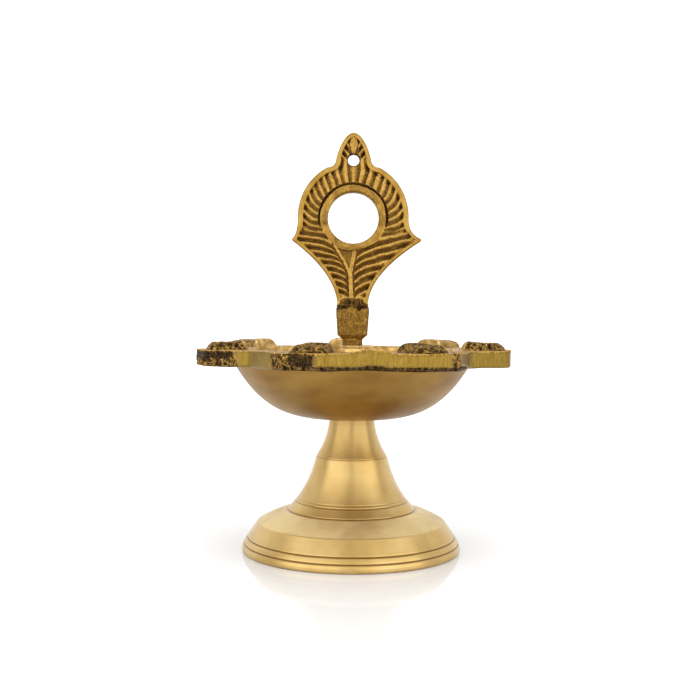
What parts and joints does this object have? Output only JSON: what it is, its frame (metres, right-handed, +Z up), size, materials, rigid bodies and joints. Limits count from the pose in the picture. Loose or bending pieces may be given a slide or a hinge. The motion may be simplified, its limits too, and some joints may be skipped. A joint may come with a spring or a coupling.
{
  "type": "diya oil lamp",
  "caption": "Brass oil lamp: a lobed wick tray and bowl on a turned hollow foot, with a cast ring handle; it screws apart.",
  "frame": {"origin": "on the lamp's axis, at the plane that the foot stands on", "axes": "+Z up along the lamp's axis; the handle's decorated faces look along -Y (the front) and +Y; +X is to the right seen from the front"},
  "size_m": [0.0946, 0.0939, 0.1262],
  "materials": {
    "turned_brass": "satin, lathe-turned",
    "cast_brass": "sand-cast, filed at the edge and turned inside and underneath",
    "antique_brass": "sand-cast, dark patina in the recesses",
    "plated_steel": "zinc-plated",
    "sealing_fibre": "matt, oil-darkened"
  },
  "bodies": {
    "foot": {"foot": "turned_brass"},
    "bowl_gasket": {"bowl_gasket": "sealing_fibre"},
    "bowl": {"bowl": "cast_brass", "bowl_stud": "plated_steel"},
    "handle_washer": {"handle_washer": "turned_brass"},
    "handle": {"handle": "antique_brass"},
    "lock_washer": {"lock_washer": "plated_steel"},
    "lock_nut": {"lock_nut": "plated_steel"}
  },
  "joints": [
    {"name": "bowl_lift", "type": "slide", "parent": "foot", "child": "bowl_gasket", "axis": [0, 0, 1], "range_m": [0, 0.015]},
    {"name": "bowl_turn", "type": "hinge", "parent": "bowl_gasket", "child": "bowl", "pos_m": [0, 0, 0.04], "axis": [0, 0, 1], "range_deg": [0, 5400]},
    {"name": "handle_lift", "type": "slide", "parent": "bowl", "child": "handle_washer", "axis": [0, 0, 1], "range_m": [0, 0.0091]},
    {"name": "handle_turn", "type": "hinge", "parent": "handle_washer", "child": "handle", "pos_m": [0, 0, 0.0622], "axis": [0, 0, 1], "range_deg": [0, 4680]},
    {"name": "nut_travel", "type": "slide", "parent": "foot", "child": "lock_washer", "axis": [0, 0, 1], "range_m": [-0.006, 0]},
    {"name": "nut_turn", "type": "hinge", "parent": "lock_washer", "child": "lock_nut", "pos_m": [0, 0, 0.028], "axis": [0, 0, 1], "range_deg": [-2160, 0]}
  ],
  "couplings": [
    {"joint": "bowl_turn", "follows": "bowl_lift", "rad_per_m": 6283.2},
    {"joint": "handle_turn", "follows": "handle_lift", "rad_per_m": 8976},
    {"joint": "nut_turn", "follows": "nut_travel", "rad_per_m": 6283.2}
  ]
}
